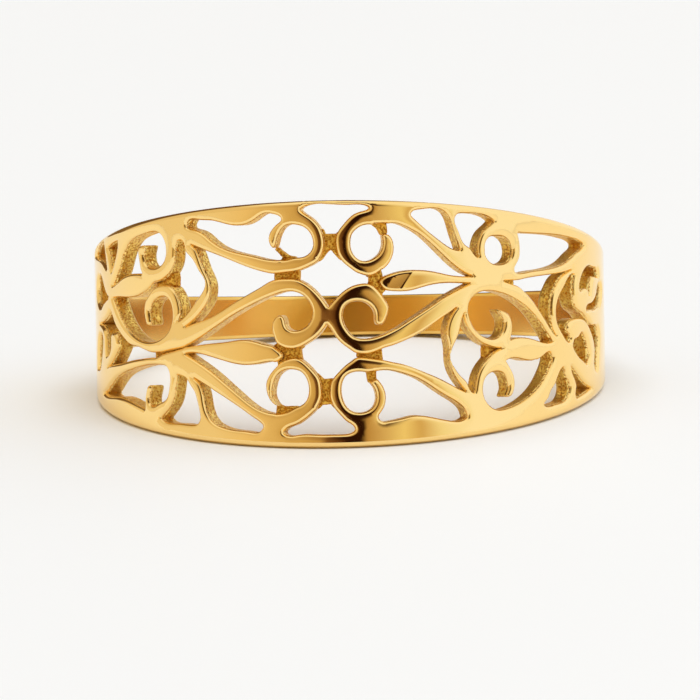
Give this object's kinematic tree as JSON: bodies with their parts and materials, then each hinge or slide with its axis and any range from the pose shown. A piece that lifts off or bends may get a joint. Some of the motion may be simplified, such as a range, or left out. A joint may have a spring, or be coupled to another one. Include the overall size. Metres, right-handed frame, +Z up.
{
  "type": "filigree openwork ring",
  "caption": "One-piece cast ring with a wide pierced scrollwork front between two rims that taper to a narrow plain shank at the back.",
  "frame": {"origin": "middle of the footprint, on the surface that the ring lies on", "axes": "+Z up, front of the ring towards -Y, +X to the right seen from the front; the finger's axis leans back by 11.5 degrees"},
  "size_m": [0.0188, 0.0196, 0.0087],
  "materials": {
    "gold": "polished yellow gold, hole walls left as cast"
  },
  "bodies": {
    "root": {"ring": "gold"}
  },
  "joints": []
}
